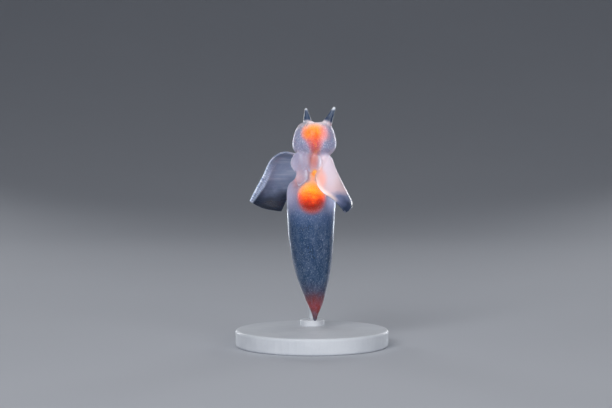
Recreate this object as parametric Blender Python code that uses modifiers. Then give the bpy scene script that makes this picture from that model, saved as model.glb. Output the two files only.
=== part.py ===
# A sea angel, 45 mm from tentacle tips to tail tip, swimming upright on a display stand.
# Metres, +Z up. The origin is the middle of the stand's underside, and the viewer looks along +Y.
# The belly is turned to the viewer's left, so the animal's left wing is the near one, on the viewer's right.

import math

import bmesh
import bpy
from mathutils import Matrix, Vector

MM = 0.001
GAP = 0.3 * MM  # between neighbours, everywhere

# Stand
BASE_RADIUS = 16.0 * MM
BASE_THICKNESS = 3.5 * MM
BASE_EDGE = 0.5 * MM
BOSS_RADIUS = 2.6 * MM
BOSS_HEIGHT = 1.2 * MM
ROD_RADIUS = 0.75 * MM
ROD_SOCKET_DEPTH = 2.4 * MM
ROD_BEHIND = 7.2 * MM  # from the body's axis back to the upright rod
ROD_SIDE = 0.1 * MM
ROD_BEND = 2.4 * MM
ROD_HEIGHT = 20.5 * MM  # above the tail tip, where the rod enters the back
ROD_IN_BACK = 2.2 * MM

# Body, measured upwards from the tail tip
TAIL_CLEARANCE = 1.6 * MM
TAIL_Z = BASE_THICKNESS + TAIL_CLEARANCE
BELLY_TURN = math.radians(35)
CROWN_HEIGHT = 42.0 * MM
# Each station: height, half width, half depth, middle across, all in mm.
BODY_STATIONS = [
    (0.0, 0.0, 0.0, 0.63),
    (0.25, 0.28, 0.26, 0.63),
    (1.2, 0.55, 0.5, 0.64),
    (2.9, 1.25, 1.14, 0.66),
    (4.6, 1.95, 1.77, 0.58),
    (6.4, 2.55, 2.32, 0.45),
    (8.8, 3.29, 2.98, 0.25),
    (12.5, 4.07, 3.68, 0.05),
    (17.0, 4.68, 4.24, -0.16),
    (21.5, 4.94, 4.46, -0.22),
    (25.4, 5.12, 4.6, -0.16),
    (27.7, 5.06, 4.52, -0.1),
    (28.8, 4.72, 4.2, -0.06),
    (29.7, 3.75, 3.5, -0.02),
    (30.4, 3.34, 3.16, 0.02),
    (31.6, 3.24, 3.06, 0.1),
    (33.0, 3.12, 2.96, 0.25),
    (34.5, 3.08, 2.9, 0.42),
    (35.3, 3.76, 3.42, 0.46),
    (36.2, 4.42, 3.94, 0.48),
    (37.3, 4.6, 4.1, 0.5),
    (38.8, 4.34, 3.9, 0.5),
    (40.3, 3.84, 3.46, 0.54),
    (41.4, 3.04, 2.74, 0.6),
    (41.9, 1.8, 1.6, 0.6),
    (42.0, 0.0, 0.0, 0.6),
]
RINGS_PER_STATION = 3
BODY_SIDES = 40
CROWN_SADDLE = 0.35 * MM  # how far the crown dips between the tentacles
SADDLE_HALF_WIDTH = 2.6 * MM
HOOD_GROOVE = 0.22 * MM  # the shallow furrow between the two halves of the oral hood
HOOD_GROOVE_WIDTH = math.radians(20)

# Where the body is parted, above the tail tip
TAIL_TIP_TOP = 5.0 * MM
TAIL_TOP = 15.6 * MM
TORSO_TOP = 30.6 * MM
NECK_TOP = 34.85 * MM

# Mouth, a short upright slit in the front of the crown, between low lips
MOUTH_ON_BELLY_SIDE = 2.25 * MM
MOUTH_HEIGHT = 40.8 * MM
MOUTH_TILT = math.radians(50)
LIP_SIZE = (0.6 * MM, 0.68 * MM, 1.55 * MM)
LIP_APART = 0.27 * MM
SLIT_SIZE = (0.13 * MM, 0.85 * MM, 1.2 * MM)

# Feelers: offset to the animal's side and back from the crown's middle, in mm
FEELER_SIDE = 2.6
FEELER_BACK = 1.0
FEELER_LEAN_SIDE = 0.35  # for each unit of height
FEELER_LEAN_BACK = 0.3
FEELERS = {
    "tentacle_left": {"side": 1, "foot": 40.6, "tip": 44.95},
    "tentacle_right": {"side": -1, "foot": 40.6, "tip": 44.65},
}
# Share of the feeler's length from foot to tip, and radius in mm
FEELER_PROFILE = [(0.0, 1.25), (0.18, 1.12), (0.45, 0.74), (0.75, 0.46), (0.9, 0.36), (0.97, 0.27), (1.0, 0.0)]
FEELER_SIDES = 16
# The small hind feelers that carry the eye specks, on the nape
NAPE_ANGLE = math.radians(26)
NAPE_RADIUS = 3.4
NAPE_FEELERS = {"nape_tentacle_left": 1, "nape_tentacle_right": -1}
NAPE_HEIGHT = 37.0
NAPE_REACH = 1.9
NAPE_RISE = 0.9
NAPE_PROFILE = [(0.0, 0.62), (0.35, 0.6), (0.65, 0.46), (0.88, 0.3), (1.0, 0.0)]

# Wings: the front edge and the rear edge, from the root to the tip, in mm
WINGS = {
    "wing_left": {
        "front": [(1.5, -0.8, 34.5), (3.4, -2.0, 34.75), (4.6, -2.75, 32.2), (6.1, -3.35, 28.9), (8.3, -4.05, 24.95)],
        "rear": [
            (0.45, -2.6, 31.2),
            (0.85, -4.6, 30.0),
            (1.15, -5.6, 28.6),
            (2.1, -6.6, 27.4),
            (4.0, -7.8, 26.2),
            (6.0, -8.6, 24.2),
            (7.05, -8.9, 22.75),
        ],
        "camber": 0.9,
        "camber_to": (0.75, -0.35, 0.55),
        "roll_to": (-0.35, 0.1, -0.1),
    },
    "wing_right": {
        "front": [
            (-1.1, 0.8, 33.9),
            (-3.9, 1.9, 35.1),
            (-6.2, 2.45, 35.5),
            (-8.2, 2.6, 34.5),
            (-10.5, 2.4, 30.4),
            (-13.65, 1.8, 24.5),
        ],
        "rear": [(-1.5, 2.3, 30.2), (-3.5, 4.4, 29.0), (-4.5, 5.1, 27.0), (-5.5, 5.3, 24.8), (-6.7, 5.1, 22.3)],
        "camber": 1.1,
        "camber_to": (-0.1, 1.0, 0.1),
        "roll_to": (0.25, -0.75, -0.1),
    },
}
WING_SPANWISE = 22
WING_CHORDWISE = 14
CLOSER_IN_FRONT = 1.25  # power that crowds the rows towards the front edge
WING_ROLL_SHARE = 0.16  # of the chord, along the front edge, that rolls over towards the belly
WING_TIP_BULGE = 0.045  # of the span
WING_THICKNESS = 0.95 * MM
WING_THINNEST = 0.55  # of that thickness, over the outer wing
WING_MARGIN = 0.4  # of that thickness, at the very edge

# Foot lobes on the belly side of the neck: middle in mm, angle from the belly line, sizes in mm.
# Each is a flap, and its free edge lies towards the animal's left and up by the two shares in "free".
LOBES = {
    "foot_lobe_right": {
        "middle": (-2.35, -2.75, 33.3),
        "facing": math.radians(4),
        "tilt": math.radians(6),
        "half": (1.95, 2.35),
        "outward": 0.75,
        "inward": 1.9,
        "flare": 0.75,
        "point": 0.25,
        "free": (-1.0, -0.2),
    },
    "foot_lobe_left": {
        "middle": (0.45, -3.25, 33.3),
        "facing": math.radians(32),
        "tilt": math.radians(-4),
        "half": (1.55, 2.2),
        "outward": 0.62,
        "inward": 1.6,
        "flare": 0.5,
        "point": 0.2,
        "free": (1.0, -0.2),
    },
    "foot_lobe_middle": {
        "middle": (-2.1, -3.55, 30.3),
        "facing": math.radians(0),
        "tilt": math.radians(-12),
        "half": (1.45, 1.95),
        "outward": 0.6,
        "inward": 1.7,
        "flare": 0.4,
        "point": 0.6,
        "free": (0.0, -1.0),
    },
}
LOBE_RIM = 0.12  # how far the thick rim stands above the face, in mm
LOBE_RIM_AT = 0.8  # of the way from the middle to the edge
LOBE_RIM_WIDTH = 0.13
LOBE_SIDES = 24
LOBE_RINGS = 14

COLOURS = {
    "stand": ((0.62, 0.65, 0.68), 0.3),
    "flesh": ((0.42, 0.45, 0.62), 0.35),
    "tail": ((0.08, 0.13, 0.22), 0.35),
    "tail_tip": ((0.5, 0.12, 0.09), 0.35),
    "wing": ((0.45, 0.5, 0.62), 0.3),
    "foot": ((0.68, 0.5, 0.58), 0.35),
}


def clear_scene():
    for obj in list(bpy.data.objects):
        bpy.data.objects.remove(obj, do_unlink=True)


def make_materials():
    made = {}
    for name, (colour, roughness) in COLOURS.items():
        material = bpy.data.materials.new(name)
        material.use_nodes = True
        shader = material.node_tree.nodes["Principled BSDF"]
        shader.inputs["Base Color"].default_value = (*colour, 1.0)
        shader.inputs["Roughness"].default_value = roughness
        shader.inputs["Metallic"].default_value = 0.0
        made[name] = material
    return made


def make_object(name, bm, collection, material=None):
    """One object from bm, with smooth faces."""
    bmesh.ops.recalc_face_normals(bm, faces=bm.faces)
    mesh = bpy.data.meshes.new(name)
    bm.to_mesh(mesh)
    bm.free()
    mesh.shade_smooth()
    mesh.set_sharp_from_angle(angle=math.radians(40))
    obj = bpy.data.objects.new(name, mesh)
    collection.objects.link(obj)
    if material:
        mesh.materials.append(material)
    return obj


def make_helper(obj):
    """A cutter or guide, which is no part of the model."""
    obj.hide_render = True
    obj.display_type = "WIRE"
    return obj


def cut_away(obj, cutter):
    modifier = obj.modifiers.new("clear of " + cutter.name, "BOOLEAN")
    modifier.operation = "DIFFERENCE"
    modifier.solver = "EXACT"
    modifier.object = cutter


def keep_largest(obj):
    """Applies the modifiers and keeps only the largest closed surface."""
    bpy.context.view_layer.update()
    evaluated = obj.evaluated_get(bpy.context.evaluated_depsgraph_get())
    mesh = bpy.data.meshes.new_from_object(evaluated)
    obj.modifiers.clear()
    bm = bmesh.new()
    bm.from_mesh(mesh)
    left = set(bm.verts)
    shells = []
    while left:
        reached = {left.pop()}
        edge = set(reached)
        while edge:
            edge = {e.other_vert(v) for v in edge for e in v.link_edges} - reached
            reached |= edge
        left -= reached
        shells.append(reached)
    largest = max(shells, key=len)
    bmesh.ops.delete(bm, geom=[v for v in bm.verts if v not in largest], context="VERTS")
    bm.to_mesh(mesh)
    bm.free()
    obj.data = mesh


def in_plan(angle):
    """Unit direction seen from above. 0 is the belly line and 90 degrees the animal's own left."""
    turned = angle - BELLY_TURN
    return Vector((math.sin(turned), -math.cos(turned), 0.0))


def through(points, share):
    """A point on the smooth curve through the points, spaced by the length between them."""
    vectors = [Vector(p) for p in points]
    knots = [0.0]
    for a, b in zip(vectors, vectors[1:]):
        knots.append(knots[-1] + (b - a).length)
    at = share * knots[-1]
    i = 0
    while i < len(vectors) - 2 and at > knots[i + 1]:
        i += 1
    return hermite(vectors, knots, i, (at - knots[i]) / (knots[i + 1] - knots[i]))


def slope(vectors, knots, i):
    """The curve's change for each unit of length at point i."""
    if i == 0:
        return (vectors[1] - vectors[0]) / (knots[1] - knots[0])
    if i == len(vectors) - 1:
        return (vectors[-1] - vectors[-2]) / (knots[-1] - knots[-2])
    before = (vectors[i] - vectors[i - 1]) / (knots[i] - knots[i - 1])
    after = (vectors[i + 1] - vectors[i]) / (knots[i + 1] - knots[i])
    weight = (knots[i] - knots[i - 1]) / (knots[i + 1] - knots[i - 1])
    return before * (1 - weight) + after * weight


def hermite(vectors, knots, i, t):
    span = knots[i + 1] - knots[i]
    start = slope(vectors, knots, i) * span
    end = slope(vectors, knots, i + 1) * span
    return (
        vectors[i] * (2 * t**3 - 3 * t**2 + 1)
        + start * (t**3 - 2 * t**2 + t)
        + vectors[i + 1] * (3 * t**2 - 2 * t**3)
        + end * (t**3 - t**2)
    )


def body_rings():
    """Height, half width, half depth and middle of every ring, from the tail tip to the crown, in metres."""
    stations = [Vector(s) * MM for s in BODY_STATIONS]
    knots = [0.0]
    for a, b in zip(stations, stations[1:]):
        knots.append(knots[-1] + math.hypot(b[0] - a[0], b[1] - a[1]))
    rings = []
    for i in range(len(stations) - 1):
        for step in range(RINGS_PER_STATION):
            rings.append(hermite(stations, knots, i, step / RINGS_PER_STATION))
    rings.append(stations[-1])
    return rings


def shape_body(bm, rings):
    """Moves the points of a unit sphere, whose rings are numbered from its lower pole, onto the body."""
    side = in_plan(math.pi / 2)
    for v in bm.verts:
        latitude = math.acos(max(-1.0, min(1.0, -v.co.z)))
        height, half_width, half_depth, middle = rings[round(latitude / math.pi * (len(rings) - 1))]
        angle = math.atan2(v.co.y, v.co.x)
        point = Vector((middle + half_width * math.cos(angle), half_depth * math.sin(angle), height))
        if height > NECK_TOP:
            across = Vector((point.x - middle, point.y, 0.0)).dot(side)
            share = (height - NECK_TOP) / (CROWN_HEIGHT - NECK_TOP)
            dip = min(1.0, abs(across) / SADDLE_HALF_WIDTH) ** 2 - 1.0
            point.z += CROWN_SADDLE * dip * share**6
            from_belly = math.atan2(across, Vector((point.x - middle, point.y, 0.0)).dot(in_plan(0.0)))
            furrow = HOOD_GROOVE * math.exp(-((from_belly / HOOD_GROOVE_WIDTH) ** 2))
            radius = math.hypot(point.x - middle, point.y)
            if radius > 0:
                inward = min(furrow * math.sin(math.pi * share), 0.5 * radius) / radius
                point.x -= (point.x - middle) * inward
                point.y -= point.y * inward
        v.co = point + Vector((0.0, 0.0, TAIL_Z))


def body_mesh(grow=0.0):
    """The whole body from tail tip to crown, grown outwards by the given distance."""
    rings = body_rings()
    bm = bmesh.new()
    bmesh.ops.create_uvsphere(bm, u_segments=BODY_SIDES, v_segments=len(rings) - 1, radius=1.0)
    shape_body(bm, rings)
    bmesh.ops.recalc_face_normals(bm, faces=bm.faces)
    if grow:
        bm.normal_update()
        normals = [v.normal.copy() for v in bm.verts]
        for v, normal in zip(bm.verts, normals):
            v.co += normal * grow
    return bm


def body_length(name, low, high, collection, material):
    """One length of the body between two heights above the tail tip, with flat ends."""
    bm = body_mesh()
    for height, side in ((low, -1), (high, 1)):
        if height is None:
            continue
        cut = bmesh.ops.bisect_plane(
            bm,
            geom=[*bm.verts, *bm.edges, *bm.faces],
            plane_co=(0.0, 0.0, TAIL_Z + height - side * GAP / 2),
            plane_no=(0.0, 0.0, side),
            clear_outer=True,
        )
        rim = [e for e in cut["geom_cut"] if isinstance(e, bmesh.types.BMEdge)]
        bmesh.ops.contextual_create(bm, geom=rim)
    return make_object(name, bm, collection, material)


def ellipsoid(size, place):
    """A closed ball of three half sizes, at the place given by a matrix."""
    bm = bmesh.new()
    bmesh.ops.create_uvsphere(bm, u_segments=16, v_segments=10, radius=1.0)
    bmesh.ops.transform(bm, matrix=place @ Matrix.Diagonal((*size, 1.0)), verts=bm.verts)
    return bm


def make_head(collection, cutters, material):
    """The head with its lips joined on and the mouth's slit cut in."""
    head = body_length("head", NECK_TOP, None, collection, material)
    belly = in_plan(0.0)
    middle = Vector((BODY_STATIONS[-1][3] * MM, 0.0, TAIL_Z + MOUTH_HEIGHT)) + belly * MOUTH_ON_BELLY_SIDE
    outward = belly * math.cos(MOUTH_TILT) + Vector((0.0, 0.0, math.sin(MOUTH_TILT)))
    across = in_plan(math.pi / 2)
    along = across.cross(outward)
    place = Matrix((across, outward, along)).transposed().to_4x4()
    place.translation = middle
    joined = bpy.data.collections.new("lips")
    bpy.context.scene.collection.children.link(joined)
    for lip_side in (-1, 1):
        lip = place @ Matrix.Translation((lip_side * LIP_APART, 0.0, 0.0))
        make_object(f"lip_{lip_side}", ellipsoid(LIP_SIZE, lip), joined)
    union = head.modifiers.new("lips", "BOOLEAN")
    union.operation = "UNION"
    union.operand_type = "COLLECTION"
    union.solver = "EXACT"
    union.collection = joined
    slit = make_helper(make_object("mouth_slit", ellipsoid(SLIT_SIZE, place), cutters))
    cut_away(head, slit)
    keep_largest(head)
    for obj in list(joined.objects):
        bpy.data.objects.remove(obj, do_unlink=True)
    bpy.data.collections.remove(joined)
    return head


def horn(foot, tip, profile, sides):
    """A round tapered feeler from foot to tip, as a ball drawn out along the profile of share and radius."""
    axis = tip - foot
    turn = axis.to_track_quat("Z", "Y")
    bm = bmesh.new()
    bmesh.ops.create_uvsphere(bm, u_segments=sides, v_segments=len(profile), radius=1.0)
    for v in bm.verts:
        ring = round(math.acos(max(-1.0, min(1.0, -v.co.z))) / math.pi * len(profile))
        share, radius = profile[max(0, ring - 1)]
        if ring == 0:
            radius = 0.0
        angle = math.atan2(v.co.y, v.co.x)
        spread = Vector((math.cos(angle), math.sin(angle), 0.0)) * radius * MM
        v.co = foot + turn @ (spread + Vector((0.0, 0.0, share * axis.length)))
    return bm


def make_feelers(collection, clearance, material):
    for name, feeler in FEELERS.items():
        rise = (feeler["tip"] - feeler["foot"]) * MM
        foot = Vector((BODY_STATIONS[-1][3] * MM, 0.0, TAIL_Z + feeler["foot"] * MM))
        foot += in_plan(math.pi / 2) * feeler["side"] * (FEELER_SIDE * MM - FEELER_LEAN_SIDE * 1.2 * MM)
        foot += in_plan(math.pi) * (FEELER_BACK * MM - FEELER_LEAN_BACK * 1.2 * MM)
        lean = in_plan(math.pi / 2) * feeler["side"] * FEELER_LEAN_SIDE + in_plan(math.pi) * FEELER_LEAN_BACK
        tip = foot + (lean + Vector((0.0, 0.0, 1.0))) * rise
        obj = make_object(name, horn(foot, tip, FEELER_PROFILE, FEELER_SIDES), collection, material)
        cut_away(obj, clearance)
        keep_largest(obj)


def make_nape_feelers(collection, clearance, material):
    for name, side in NAPE_FEELERS.items():
        outward = in_plan(math.pi - side * NAPE_ANGLE)
        foot = Vector((0.5 * MM, 0.0, TAIL_Z + NAPE_HEIGHT * MM)) + outward * NAPE_RADIUS * MM
        tip = foot + outward * NAPE_REACH * MM + Vector((0.0, 0.0, NAPE_RISE * MM))
        obj = make_object(name, horn(foot, tip, NAPE_PROFILE, FEELER_SIDES), collection, material)
        cut_away(obj, clearance)
        keep_largest(obj)


def wing_point(wing, span, chord):
    """A point of the wing's middle sheet. span runs from root to tip and chord from the front edge to the rear."""
    reach = span * (1.0 + WING_TIP_BULGE * (math.sin(math.pi * chord) - 1.0))
    front = through(wing["front"], reach)
    rear = through(wing["rear"], reach)
    hollow = wing["camber"] * math.sin(math.pi * chord**0.7) * math.sin(math.pi * min(1.0, 0.25 + 0.6 * span))
    roll = max(0.0, 1.0 - chord / WING_ROLL_SHARE) ** 2 * min(1.0, 4 * span)
    bent = Vector(wing["camber_to"]) * hollow + Vector(wing["roll_to"]) * roll
    return (front.lerp(rear, chord) + bent) * MM + Vector((0.0, 0.0, TAIL_Z))


def make_wing(name, wing, collection, clearances, material):
    """A curved flap, thick at the root and thin at the margin, split into the same triangles on both faces."""
    bm = bmesh.new()
    bmesh.ops.create_grid(bm, x_segments=WING_SPANWISE, y_segments=WING_CHORDWISE, size=0.5)
    places = [(v.co.x + 0.5, (v.co.y + 0.5) ** CLOSER_IN_FRONT) for v in bm.verts]
    for v, (span, chord) in zip(bm.verts, places):
        v.co = wing_point(wing, span, chord)
    bmesh.ops.triangulate(bm, faces=bm.faces, quad_method="FIXED")
    obj = make_object(name, bm, collection, material)
    group = obj.vertex_groups.new(name="thickness")
    for index, (span, chord) in enumerate(places):
        at_edge = span > 0.99 or chord < 0.01 or chord > 0.99
        full = max(0.0, 1.0 - span / 0.6) ** 1.5
        share = WING_MARGIN if at_edge else WING_THINNEST + (1.0 - WING_THINNEST) * full
        group.add([index], (share - WING_MARGIN) / (1.0 - WING_MARGIN), "REPLACE")
    solid = obj.modifiers.new("thickness", "SOLIDIFY")
    solid.thickness = WING_THICKNESS
    solid.offset = 0.0
    solid.vertex_group = "thickness"
    solid.thickness_vertex_group = WING_MARGIN
    for clearance in clearances:
        cut_away(obj, clearance)
    keep_largest(obj)


def lobe_mesh(lobe, grow=0.0):
    """A cushion-shaped lobe, deep on the side that grows from the neck and thin and flared at its outer rim."""
    bm = bmesh.new()
    bmesh.ops.create_uvsphere(bm, u_segments=LOBE_SIDES, v_segments=LOBE_RINGS, radius=1.0)
    half_width, half_height = lobe["half"]
    outward = in_plan(lobe["facing"])
    across = Vector((-outward.y, outward.x, 0.0))
    up = Vector((0.0, 0.0, 1.0))
    turn = Matrix.Rotation(lobe["tilt"], 3, outward)
    for v in bm.verts:
        a, b, c = v.co.x, v.co.z, -v.co.y
        from_middle = math.hypot(a, b)
        freedom = a * lobe["free"][0] + b * lobe["free"][1]
        rim = LOBE_RIM * math.exp(-(((from_middle - LOBE_RIM_AT) / LOBE_RIM_WIDTH) ** 2)) * max(0.0, freedom)
        depth = c**0.7 * lobe["outward"] + rim if c > 0 else c * lobe["inward"]
        depth += lobe["flare"] * freedom * abs(freedom)
        a *= 1.0 - lobe["point"] * max(0.0, -b) ** 1.5
        offset = turn @ (across * a * half_width + up * b * half_height) + outward * depth
        v.co = (Vector(lobe["middle"]) + offset) * MM + Vector((0.0, 0.0, TAIL_Z))
    bmesh.ops.recalc_face_normals(bm, faces=bm.faces)
    if grow:
        bm.normal_update()
        normals = [v.normal.copy() for v in bm.verts]
        for v, normal in zip(bm.verts, normals):
            v.co += normal * grow
    return bm


def make_lobes(collection, cutters, clearance, material):
    """The three lobes, each cut clear of the body and of those made before it. Returns their clearance shapes."""
    clearances = []
    for name, lobe in LOBES.items():
        obj = make_object(name, lobe_mesh(lobe), collection, material)
        cut_away(obj, clearance)
        for other in clearances:
            cut_away(obj, other)
        keep_largest(obj)
        clearances.append(make_helper(make_object("room_for_" + name, lobe_mesh(lobe, GAP), cutters)))
    return clearances


def turned_disc(name, radius, low, high, edge, collection, material=None):
    """A disc with a rounded rim, standing on the height low."""
    bm = bmesh.new()
    bmesh.ops.create_cone(bm, cap_ends=True, segments=64, radius1=radius, radius2=radius, depth=high - low)
    bmesh.ops.translate(bm, verts=bm.verts, vec=(0.0, 0.0, (low + high) / 2))
    obj = make_object(name, bm, collection, material)
    if edge:
        bevel = obj.modifiers.new("edge", "BEVEL")
        bevel.width = edge
        bevel.segments = 3
        bevel.limit_method = "ANGLE"
    return obj


def rod_cutter(name, low, high, cutters):
    """A round hole that leaves the gap round the rod."""
    bm = bmesh.new()
    radius = ROD_RADIUS + GAP
    axis = high - low
    bmesh.ops.create_cone(bm, cap_ends=True, segments=24, radius1=radius, radius2=radius, depth=axis.length)
    turn = axis.to_track_quat("Z", "Y").to_matrix().to_4x4()
    bmesh.ops.transform(bm, matrix=Matrix.Translation((low + high) / 2) @ turn, verts=bm.verts)
    return make_helper(make_object(name, bm, cutters))


def rod_route():
    """Up from the socket, round a quarter bend and forward into the back."""
    foot = Vector((ROD_SIDE, ROD_BEHIND, BASE_THICKNESS + BOSS_HEIGHT - ROD_SOCKET_DEPTH + GAP))
    arm_height = TAIL_Z + ROD_HEIGHT
    centre = Vector((ROD_SIDE, ROD_BEHIND - ROD_BEND, arm_height - ROD_BEND))
    points = [foot]
    bend_steps = 8
    for step in range(bend_steps + 1):
        angle = step / bend_steps * math.pi / 2
        points.append(centre + Vector((0.0, math.cos(angle), math.sin(angle))) * ROD_BEND)
    points.append(Vector((ROD_SIDE, back_surface() - ROD_IN_BACK, arm_height)))
    return points


def back_surface():
    """How far behind the axis the back lies at the rod's height."""
    rings = body_rings()
    nearest = min(rings, key=lambda ring: abs(ring[0] - ROD_HEIGHT))
    return nearest[2]


def make_stand(collection, cutters, material):
    """Returns the hole that the rod needs in the back."""
    base = turned_disc("stand_base", BASE_RADIUS, 0.0, BASE_THICKNESS, BASE_EDGE, collection, material)
    joined = bpy.data.collections.new("boss")
    bpy.context.scene.collection.children.link(joined)
    top = BASE_THICKNESS + BOSS_HEIGHT
    boss = turned_disc("boss", BOSS_RADIUS, BASE_THICKNESS - 1.0 * MM, top, 0.3 * MM, joined)
    boss.location = (ROD_SIDE, ROD_BEHIND, 0.0)
    bpy.context.view_layer.update()
    union = base.modifiers.new("boss", "BOOLEAN")
    union.operation = "UNION"
    union.operand_type = "COLLECTION"
    union.solver = "EXACT"
    union.collection = joined
    route = rod_route()
    socket_low = route[0] - Vector((0.0, 0.0, GAP))
    socket_high = Vector((ROD_SIDE, ROD_BEHIND, top + 1.0 * MM))
    cut_away(base, rod_cutter("rod_socket", socket_low, socket_high, cutters))
    keep_largest(base)
    for obj in list(joined.objects):
        bpy.data.objects.remove(obj, do_unlink=True)
    bpy.data.collections.remove(joined)

    curve = bpy.data.curves.new("stand_rod", "CURVE")
    curve.dimensions = "3D"
    curve.bevel_depth = ROD_RADIUS
    curve.bevel_resolution = 3
    curve.use_fill_caps = True
    spline = curve.splines.new("POLY")
    spline.points.add(len(route) - 1)
    for point, place in zip(spline.points, route):
        point.co = (*place, 1.0)
    rod = bpy.data.objects.new("stand_rod", curve)
    curve.materials.append(material)
    collection.objects.link(rod)
    return rod_cutter("rod_hole", route[-1] - Vector((0.0, GAP, 0.0)), Vector((ROD_SIDE, ROD_BEHIND, route[-1].z)), cutters)


def main():
    clear_scene()
    model = bpy.data.collections.new("sea angel")
    cutters = bpy.data.collections.new("cutters")
    bpy.context.scene.collection.children.link(model)
    bpy.context.scene.collection.children.link(cutters)
    materials = make_materials()

    rod_hole = make_stand(model, cutters, materials["stand"])
    body_length("tail_tip", None, TAIL_TIP_TOP, model, materials["tail_tip"])
    body_length("tail", TAIL_TIP_TOP, TAIL_TOP, model, materials["tail"])
    torso = body_length("torso", TAIL_TOP, TORSO_TOP, model, materials["tail"])
    cut_away(torso, rod_hole)
    keep_largest(torso)
    body_length("neck", TORSO_TOP, NECK_TOP, model, materials["flesh"])
    make_head(model, cutters, materials["flesh"])

    clearance = make_helper(make_object("room_for_body", body_mesh(GAP), cutters))
    make_feelers(model, clearance, materials["flesh"])
    make_nape_feelers(model, clearance, materials["flesh"])
    lobe_clearances = make_lobes(model, cutters, clearance, materials["foot"])
    for name, wing in WINGS.items():
        make_wing(name, wing, model, [clearance, *lobe_clearances], materials["wing"])


main()
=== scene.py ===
import math

import bmesh
import bpy
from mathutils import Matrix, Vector
from mathutils.bvhtree import BVHTree


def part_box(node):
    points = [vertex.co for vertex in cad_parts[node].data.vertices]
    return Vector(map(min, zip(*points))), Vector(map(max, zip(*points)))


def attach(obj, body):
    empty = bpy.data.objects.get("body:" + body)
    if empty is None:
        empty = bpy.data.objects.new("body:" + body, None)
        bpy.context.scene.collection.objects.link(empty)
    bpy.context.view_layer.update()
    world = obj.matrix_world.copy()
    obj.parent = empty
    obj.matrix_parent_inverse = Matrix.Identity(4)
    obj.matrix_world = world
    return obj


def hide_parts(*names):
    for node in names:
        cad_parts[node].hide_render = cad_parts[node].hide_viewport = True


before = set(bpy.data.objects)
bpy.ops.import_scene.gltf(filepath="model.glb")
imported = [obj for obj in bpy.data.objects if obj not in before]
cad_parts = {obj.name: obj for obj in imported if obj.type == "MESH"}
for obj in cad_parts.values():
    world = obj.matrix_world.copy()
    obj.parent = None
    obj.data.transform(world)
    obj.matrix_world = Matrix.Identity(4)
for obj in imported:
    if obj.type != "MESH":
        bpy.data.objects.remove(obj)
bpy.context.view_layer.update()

mm = 0.001
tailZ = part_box("tail_tip")[0][2]  # height of the tail's tip above the floor
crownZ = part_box("head")[1][2]
bellyTurn = math.radians(35)  # the belly faces this far to the left of the camera
belly = Vector((-math.sin(bellyTurn), -math.cos(bellyTurn), 0.0))
ownLeft = Vector((math.cos(bellyTurn), -math.sin(bellyTurn), 0.0))  # towards the animal's left
print("frame loaded")


# Hand tools: everything below is selected, shaped and applied with these.
def pickNone():
    if bpy.context.mode != "OBJECT":
        bpy.ops.object.mode_set(mode="OBJECT")
    bpy.ops.object.select_all(action="DESELECT")


def pick(*objects):
    pickNone()
    for obj in objects:
        obj.select_set(True)
    bpy.context.view_layer.objects.active = objects[0]


def nameBoth(obj, name):
    obj.name = name
    obj.data.name = name


def withModifier(obj, kind, **settings):
    pick(obj)
    modifier = obj.modifiers.new(kind.lower(), kind)
    for key, value in settings.items():
        setattr(modifier, key, value)
    bpy.ops.object.modifier_apply(modifier=modifier.name)


def settle(obj):  # leaves the object at the origin with its place in its mesh
    pick(obj)
    bpy.ops.object.transform_apply(location=True, rotation=True, scale=True)


def editAll(obj):
    pick(obj)
    bpy.ops.object.mode_set(mode="EDIT")
    bpy.ops.mesh.select_all(action="SELECT")


def leaveEdit():
    bpy.ops.object.mode_set(mode="OBJECT")


def smoothStep(low, high, value):
    share = min(1.0, max(0.0, (value - low) / (high - low)))
    return share * share * (3.0 - 2.0 * share)


def writeAttribute(obj, name, values):
    layer = obj.data.attributes.new(name, "FLOAT", "POINT")
    layer.data.foreach_set("value", values)


# Materials are built from short node chains.
def srgb(red, green, blue):  # 0 to 255 as seen, to the shader's linear colour
    linear = []
    for value in (red, green, blue):
        value = value / 255
        linear.append(value / 12.92 if value <= 0.04045 else ((value + 0.055) / 1.055) ** 2.4)
    return (*linear, 1.0)


def grey(value):
    return (value, value, value, 1.0)


def bodyShare(height):  # millimetres above the tail's tip, to a share of the body's height
    return height * mm / (crownZ - tailZ)


def bodyHeights(stops):
    return [(bodyShare(height), colour) for height, colour in stops]


def greyHeights(stops):
    return [(bodyShare(height), grey(value)) for height, value in stops]


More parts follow.
